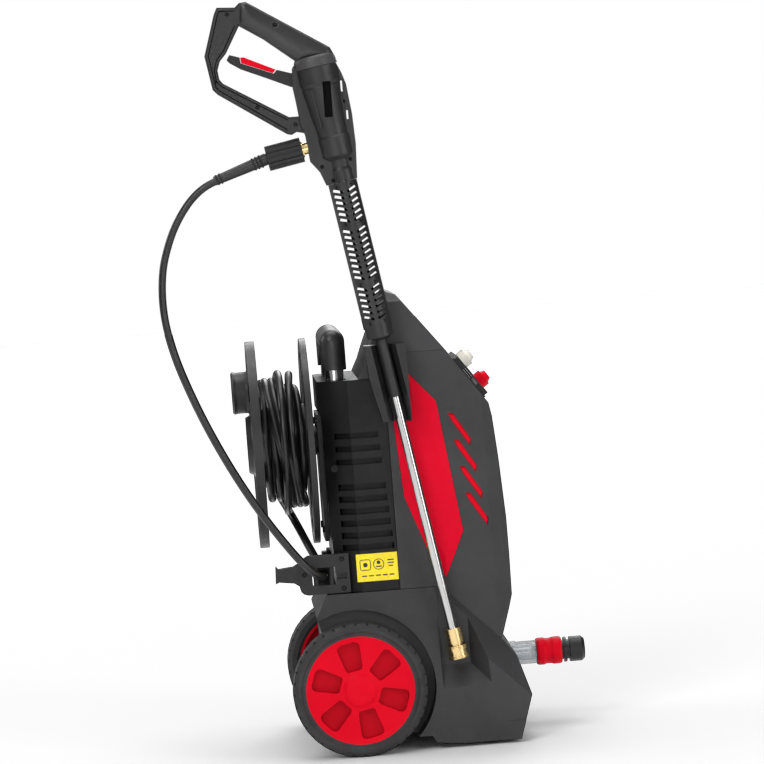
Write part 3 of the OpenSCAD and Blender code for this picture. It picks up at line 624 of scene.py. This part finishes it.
def gun_details():
    b = Build()
    for s in (-1, 1):
        for y, z in ((108, 1003), (131, 914), (77, 877), (28, 851)):
            b.lathe((-140 + s * 12.6, y, z), (s, 0, 0), SCREW, 18)
        b.lathe((-140 + s * 16.6, 45, 985), (s, 0, 0), SCREW, 18)
        for y, z in ((-38, 877), (-3, 792), (-41, 800), (-16, 773), (-38, 776)):
            b.lathe((-140 + s * 11.4, y, z), (s, 0, 0), SCREW, 18)
        for z in (298 - 57.4, 157, 103.5, 290):
            for y in (-8.9, 8.9):
                x = math.sqrt(19.5 ** 2 - 8.9 ** 2)
                b.lathe(lance_pt(s * (x + 0.4), y, z), (s, 0, 0), [(0, -0.9), (1.0, -0.9), (1.2, 0.0), (2.2, 0.1), (2.7, -0.4), (3.0, -2.2), (0, -2.2)], 18)
    b.done("gun_screws", M["screw"], "gun", node=None)
    # window in the casing, with cross ribs
    b = Build()
    for s in (-1, 1):
        x = -140 + s * 23.05
        b.slab(rounded(-16.5, 881, 10.6, 47.4, 1.2, x), (s, 0, 0), 0.5)
        for k in range(4):
            b.slab(rounded(-16.5, 863 + 12 * k, 9.4, 1.6, 0.6, x + s * 0.45), (s, 0, 0), 0.5, 0.2)
    b.done("gun_window", M["void"], "gun")
    # ribs along the casing
    b = Build()
    for s in (-1, 1):
        for y, z0, z1 in ((13.5, 372, 422), (-25.5, 366, 424)):
            pts = []
            for k in range(2):
                pass
            x0 = math.sqrt(max(1, 25.2 ** 2 - (y * 0.86) ** 2))
            q = [lance_pt(s * (x0 - 2.5), y * 0.86 - 2.5, z0), lance_pt(s * (x0 - 2.5), y * 0.86 - 0.2, z0),
                 lance_pt(s * (x0 - 0.4), y * 0.98 - 0.2, z1), lance_pt(s * (x0 - 0.4), y * 0.98 - 2.5, z1)]
            b.slab(q, (s, 0, 0), 3.0, 0.6)
    b.done("gun_ribs", M["gun"], "gun", bevel=0.0003)


def edge_distance(p, poly):
    best = 1e9
    for a, b in zip(poly, poly[1:] + poly[:1]):
        ax, ay, bx, by = a[0], a[1], b[0], b[1]
        t = max(0.0, min(1.0, ((p[0] - ax) * (bx - ax) + (p[1] - ay) * (by - ay)) / ((bx - ax) ** 2 + (by - ay) ** 2)))
        best = min(best, math.hypot(p[0] - ax - t * (bx - ax), p[1] - ay - t * (by - ay)))
    return best


def pillow(build, poly, x0, s, low, high, reach, skirt, holes=(), cell=2.4):
    """A domed pad over a side outline: (y, z) in mm, x0 the flat it sits on, s the side it faces."""
    from mathutils.geometry import delaunay_2d_cdt
    edge = []
    for a, b in zip(poly, poly[1:] + poly[:1]):
        k = max(1, int(math.hypot(b[0] - a[0], b[1] - a[1]) / cell))
        edge += [(a[0] + (b[0] - a[0]) * i / k, a[1] + (b[1] - a[1]) * i / k) for i in range(k)]
    inner = []

    def inside(p):
        c = False
        for a, b in zip(poly, poly[1:] + poly[:1]):
            if (a[1] > p[1]) != (b[1] > p[1]) and p[0] < (b[0] - a[0]) * (p[1] - a[1]) / (b[1] - a[1]) + a[0]:
                c = not c
        return c
    for d in (0.35, 0.9, 1.7):
        for i, p in enumerate(edge):
            q0, q1 = edge[i - 1], edge[(i + 1) % len(edge)]
            tx, ty = q1[0] - q0[0], q1[1] - q0[1]
            ln = math.hypot(tx, ty)
            for sg in (1, -1):
                c = (p[0] - sg * ty / ln * d, p[1] + sg * tx / ln * d)
                if inside(c) and edge_distance(c, poly) > d * 0.93:
                    inner.append(c)
                    break
    for hy, hz, hr in holes:
        for r in (hr * 0.5, hr, hr + 0.7):
            inner += [(hy + r * math.cos(math.pi * k / 9), hz + r * math.sin(math.pi * k / 9)) for k in range(18)]
    ys, zs = [p[0] for p in poly], [p[1] for p in poly]
    y = min(ys)
    while y < max(ys):
        z = min(zs)
        while z < max(zs):
            p = (y, z)
            if inside(p) and edge_distance(p, poly) > 2.4 and all(math.hypot(y - h[0], z - h[1]) > h[2] + 1.6 for h in holes):
                inner.append(p)
            z += cell
        y += cell
    pts = [Vector(p) for p in edge + inner]
    n = len(edge)
    verts, _, faces, _, _, _ = delaunay_2d_cdt(pts, [(i, (i + 1) % n) for i in range(n)], [], 1, 1e-5)

    def height(p):
        d = min(edge_distance(p, poly), reach)
        h = low + (high - low) * math.sqrt(max(0.0, 1 - (1 - d / reach) ** 2))
        for hy, hz, hr in holes:
            if math.hypot(p[0] - hy, p[1] - hz) < hr + 0.05:
                h = min(h, 0.15)
        return h
    vs = [build.bm.verts.new(P(x0 + s * height(v), v[0], v[1])) for v in verts]
    count = {}
    for f in faces:
        build.bm.faces.new([vs[i] for i in f])
        for a, b in zip(f, list(f[1:]) + [f[0]]):
            k = (min(a, b), max(a, b))
            count[k] = count.get(k, 0) + 1
    under = {}
    rim = [k for k, c in count.items() if c == 1]
    for k in rim:
        for i in k:
            if i not in under:
                under[i] = build.bm.verts.new(P(x0 + s * (low - skirt), verts[i][0], verts[i][1]))
    for a, b in rim:
        build.bm.faces.new((vs[a], vs[b], under[b], under[a]))
    for f in faces:      # closes the back
        if all(i in under for i in f):
            continue
    back = {i: under.get(i) or build.bm.verts.new(P(x0 + s * (low - skirt), verts[i][0], verts[i][1])) for i in range(len(verts))}
    for f in faces:
        build.bm.faces.new([back[i] for i in reversed(f)])


def ribbon(build, path, off0, off1, x, s, h):
    """A raised bead along an open side path, between two offsets to the left of it."""
    n = len(path)
    rows = []
    for i, p in enumerate(path):
        a = Vector(path[max(i - 1, 0)])
        b = Vector(path[min(i + 1, n - 1)])
        c = Vector(p)
        d0 = (c - a).normalized() if i else (b - c).normalized()
        d1 = (b - c).normalized() if i < n - 1 else d0
        m = (d0 + d1).normalized()
        k = 1 / max(0.5, m.dot(d0))
        nrm = Vector((-m.y, m.x)) * k
        rows.append([build.bm.verts.new(P(x + s * hh, (c + nrm * o).x, (c + nrm * o).y)) for o, hh in ((off0, -1.2), (off0, h), (off1, h), (off1, -1.2))])
    for a, b in zip(rows, rows[1:]):
        for k in range(4):
            build.bm.faces.new((a[k], a[(k + 1) % 4], b[(k + 1) % 4], b[k]))
    build.bm.faces.new(rows[0])
    build.bm.faces.new(list(reversed(rows[-1])))


def gun_pads():
    hand = [(-27, 934), (-25.5, 948), (82, 1017), (90, 1016), (92, 990), (62, 968.5), (18, 935)]
    b = Build()
    for s in (-1, 1):
        pillow(b, hand, -140 + s * 15, s, -2.7, 2.7, 15, 0.8, holes=[(45, 985, 3.4)])
    b.done("gun_grip_pads", M["gun_pad"], "gun")
    b = Build()
    outer = [(98, 1011.5), (121, 1012.6), (125.2, 1003.8), (141.6, 950), (134.2, 905.4), (127.6, 898.4), (42, 841)]
    inner = [(36, 861.6), (120, 912.2), (124.6, 918.2), (126, 930), (122, 942), (113, 952), (95, 985)]
    for s in (-1, 1):
        ribbon(b, outer, -1.9, -4.1, -140 + s * 13, s, 1.1)
        ribbon(b, inner, -3.9, -1.9, -140 + s * 13, s, 1.1)
    b.done("gun_bow_rails", M["gun"], "gun", bevel=0.0004)
    # painted shade: flat dark strips beside the beads stand in for the shadow in the recessed grooves
    b = Build()
    for s in (-1, 1):
        ribbon(b, outer, -4.15, -5.3, -140 + s * 13, s, 0.15)
        ribbon(b, inner, -5.1, -3.95, -140 + s * 13, s, 0.15)
    b.done("gun_bow_groove_shade", M["void"], "gun")
    # pale ring where the casing meets the grip
    b = Build()
    t = math.radians(9.51)
    b.lathe(lance_pt(0, -2.5, 0), (0, math.sin(t), math.cos(t)),
            [(24, 453), (28.7, 453), (29.1, 453.6), (29.1, 455.2), (28.7, 455.9), (28.5, 461.5), (27.8, 464.2), (26.0, 467.6), (24, 468.2)], 64, closed=True)
    b.done("gun_collar", M["collar"], "gun")


def label_print():
    x = -113.0
    b = Build()

    def frame(cy, cz, w, h, t, r):
        b.ring(rounded(cy, cz, w, h, r, x), rounded(cy, cz, w - 2 * t, h - 2 * t, max(0.3, r - t), x), (-1, 0, 0), 0.12)
    frame(-21, 252, 15, 15, 1.0, 3)
    frame(-39, 252, 15, 15, 1.0, 7.4)
    for cy, cz, w, h in ((-21, 252, 6, 6), (-39, 254.5, 5, 5), (-39, 249.0, 8, 1.6), (-55.5, 257, 9, 1.6), (-55.5, 253, 9, 1.6), (-55.5, 249, 6, 1.6)):
        b.slab(rounded(cy, cz, w, h, min(w, h) / 2.2, x), (-1, 0, 0), 0.12)
    for k in range(5):
        b.slab(rounded(-19 - 9.3 * k, 237, 6.8, 1.7, 0.8, x), (-1, 0, 0), 0.12)
    b.done("label_print", M["ink"], "root", smooth_it=False)


def guide_parts():
    b = Build()
    b.lathe((-104.4, 36.5, 240.8), (1, 0, 0), [(13.6, 0), (12.6, 0), (9.5, 2.4), (6.6, 5.6), (5.8, 7.2), (6.8, 7.6), (8.2, 6.2), (10.6, 3.2), (13.6, 1.2)], 36, closed=True)
    b.done("guide_bush", M["rubber"], "root")
    b = Build()
    for y in (25.6, 46.4):
        for z in (228.6, 253.4):
            b.lathe((-108, y, z), (0, 0, 1 if z > 240 else -1), [(0, -0.4), (2.6, -0.4), (2.9, 0.2), (2.6, 0.9), (1.2, 1.3), (0, 1.3)], 20)
    for y, z in ((10, 263), (10, 223), (62, 245)):
        b.lathe((-111.4, y, z), (-1, 0, 0), [(0, -0.8), (1.2, -0.8), (1.4, 0.6), (2.9, 0.8), (3.4, 0.2), (3.4, -0.6), (0, -0.6)], 20)
    b.done("guide_pins", M["screw"], "root")


def seams():
    # gasket lines between the mouldings, slightly proud of the joints
    b = Build()
    for s in (-1, 1):
        x = s * 115.0
        b.slab([(x - s * 1.2, -146, 534.55), (x - s * 1.2, -50, 534.55), (x - s * 1.2, -50, 535.15), (x - s * 1.2, -146, 535.15)], (s, 0, 0), 0.9, 0.2)
    b.done("hood_gasket", M["gloss"], "root")


def hose_clip():
    # clamp rings on the strain relief
    b = Build()
    d = Vector((0, math.sin(math.radians(108.8)), math.cos(math.radians(108.8))))
    for k, r in ((8, 8.9), (13, 8.75), (18, 8.6), (66, 7.3), (71, 7.2)):
        o = Vector((-140, 70.5, 808)) + d * k
        b.lathe(tuple(o), tuple(d), [(r - 1.6, -1.2), (r - 0.2, -1.2), (r + 0.25, -0.4), (r + 0.25, 0.4), (r - 0.2, 1.2), (r - 1.6, 1.2)], 28, closed=True)
    b.done("relief_rings", M["rubber"], "gun")


def spare_tip():
    # a brass spray plug left in the upper row of the rack
    t = math.radians(54.95)
    n = Vector((0, -math.sin(t), math.cos(t)))
    u = Vector((0, math.cos(t), math.sin(t)))
    o = Vector((0, -181, 490.1)) + u * 23 + n * 3.6
    b = Build()
    b.lathe(tuple(o), tuple(n), [(0, 0), (4.6, 0), (5.4, 0.8), (5.4, 6.2), (4.4, 6.8), (4.4, 8.2), (6.6, 8.8), (6.6, 12.6), (5.8, 13.4), (2.2, 13.4), (2.0, 11.6), (0, 11.6)], 28)
    b.done("rack_plug", M["brass"], "root")


def lance_band():
    # knurled bands on the coupler sleeve
    b = Build()
    t = math.radians(9.51)
    axis = (0, math.sin(t), math.cos(t))
    for z in (-361.6, -359.8, -347.9, -346.4):
        o = lance_pt(0, 0, z)
        b.lathe(o, axis, [(12.6, -0.5), (14.05, -0.5), (14.35, 0), (14.05, 0.5), (12.6, 0.5)], 40, closed=True)
    b.done("sleeve_bands", M["brass"], "coupler_sleeve")


gun_details()
gun_pads()
label_print()
guide_parts()
seams()
hose_clip()
spare_tip()
lance_band()

# ------------------------------------------------------------------ floor and light
def stage():
    bm = bmesh.new()
    bmesh.ops.create_grid(bm, x_segments=2, y_segments=2, size=14)
    me = bpy.data.meshes.new("floor")
    bm.to_mesh(me)
    bm.free()
    f = new_obj("floor", me)
    g = G("pale_floor")
    g.set(Base_Color=g.ramp(g.noise(3, 2, 0.5), [(0.3, (0.93, 0.93, 0.93)), (0.7, (0.96, 0.96, 0.96))]))
    g.b.inputs["Roughness"].default_value = 0.7
    g.b.inputs["Specular IOR Level"].default_value = 0.15
    f.data.materials.append(g.m)
    f.is_shadow_catcher = True

    def area(name, pos, target, size, power):
        ld = bpy.data.lights.new(name, "AREA")
        ld.shape = "RECTANGLE"
        ld.size, ld.size_y = size
        ld.energy = power
        o = new_obj(name, ld)
        o.location = pos
        o.rotation_euler = (Vector(target) - Vector(pos)).to_track_quat("-Z", "Y").to_euler()
        return o

    area("key", (-2.6, 1.6, 2.4), (0, 0, 0.5), (1.2, 1.8), 40)
    area("top", (0.2, 0.1, 3.2), (0, 0, 0.4), (2.2, 2.2), 52)
    area("fill", (-2.4, -2.4, 1.2), (0, 0, 0.5), (0.9, 2.0), 30)
    area("low", (-3.0, 0.3, 0.55), (0, 0, 0.2), (1.6, 0.5), 10)
    area("far", (2.8, -0.6, 2.0), (0, 0, 0.5), (1.8, 1.8), 34)
    area("back", (0.8, 2.9, 1.6), (0, 0, 0.5), (1.2, 1.6), 22)
    w = bpy.data.worlds.new("studio")
    bpy.context.scene.world = w
    w.use_nodes = True
    t = w.node_tree
    t.nodes.clear()
    out = t.nodes.new("ShaderNodeOutputWorld")
    env = t.nodes.new("ShaderNodeBackground")
    white = t.nodes.new("ShaderNodeBackground")
    mix = t.nodes.new("ShaderNodeMixShader")
    lp = t.nodes.new("ShaderNodeLightPath")
    tc = t.nodes.new("ShaderNodeTexCoord")
    sep = t.nodes.new("ShaderNodeSeparateXYZ")
    ramp = t.nodes.new("ShaderNodeValToRGB")
    t.links.new(tc.outputs["Generated"], sep.inputs[0])
    def node(kind, **kw):
        nd = t.nodes.new(kind)
        for k, v in kw.items():
            setattr(nd, k, v)
        return nd
    sub = node("ShaderNodeMath", operation="ADD")
    sub.inputs[1].default_value = 0.5
    t.links.new(sep.outputs["Z"], sub.inputs[0])
    t.links.new(sub.outputs[0], ramp.inputs[0])
    e = ramp.color_ramp.elements
    e[0].position, e[0].color = 0.1, (0.10, 0.10, 0.105, 1)
    e[1].position, e[1].color = 1.0, (0.95, 0.95, 0.96, 1)
    side = node("ShaderNodeMath", operation="ABSOLUTE")
    t.links.new(sep.outputs["Y"], side.inputs[0])
    band = t.nodes.new("ShaderNodeValToRGB")
    t.links.new(side.outputs[0], band.inputs[0])
    be = band.color_ramp.elements
    be[0].position, be[0].color = 0.30, (1, 1, 1, 1)
    be[1].position, be[1].color = 0.70, (0.10, 0.10, 0.10, 1)
    mul = node("ShaderNodeMix", data_type="RGBA", blend_type="MULTIPLY")
    mul.inputs[0].default_value = 1.0
    t.links.new(ramp.outputs[0], mul.inputs[6])
    t.links.new(band.outputs[0], mul.inputs[7])
    t.links.new(mul.outputs[2], env.inputs[0])
    env.inputs[1].default_value = 0.6
    white.inputs[0].default_value = (1, 1, 1, 1)
    white.inputs[1].default_value = 1.0
    t.links.new(lp.outputs["Is Camera Ray"], mix.inputs[0])
    t.links.new(env.outputs[0], mix.inputs[1])
    t.links.new(white.outputs[0], mix.inputs[2])
    t.links.new(mix.outputs[0], out.inputs[0])
    sc = bpy.context.scene
    sc.view_settings.view_transform = "Standard"
    sc.view_settings.exposure = 0.0


stage()

# ------------------------------------------------------------------ rounded edges on the CAD parts
for n, w in {"top_cover": 0.004, "front_cover": 0.004, "rear_cover": 0.0015, "base_housing": 0.004, "side_panels": 0.0015,
             "lance_holder": 0.0012, "hose_guide": 0.0015, "cord_hook": 0.002, "label_plate": 0.0002, "nozzle_rack": 0.001,
             "gun_shell_left": 0.003, "gun_shell_right": 0.003, "barrel_cover": 0.005, "handguard": 0.0006, "trigger": 0.002,
             "safety_latch": 0.0015, "hose_nut": 0.0008, "reel_bracket": 0.001, "flange_outer": 0.0012, "reel_drum": 0.001,
             "crank_knob": 0.0015, "tyre_left": 0.0012, "tyre_right": 0.0012, "rim_left": 0.0012, "rim_right": 0.0012,
             "hose_connector": 0.0008, "connector_collar": 0.0008, "coupler_body": 0.0005, "coupler_sleeve": 0.0005,
             "foot_pads": 0.001, "power_knob": 0.001, "handle_grip": 0.001, "vent_inserts": 0.0005, "nozzle_fan": 0.0004, "nozzle_jet": 0.0004,
             "inlet_filter": 0.0005, "gun_inlet": 0.0005}.items():
    soften(n, w)
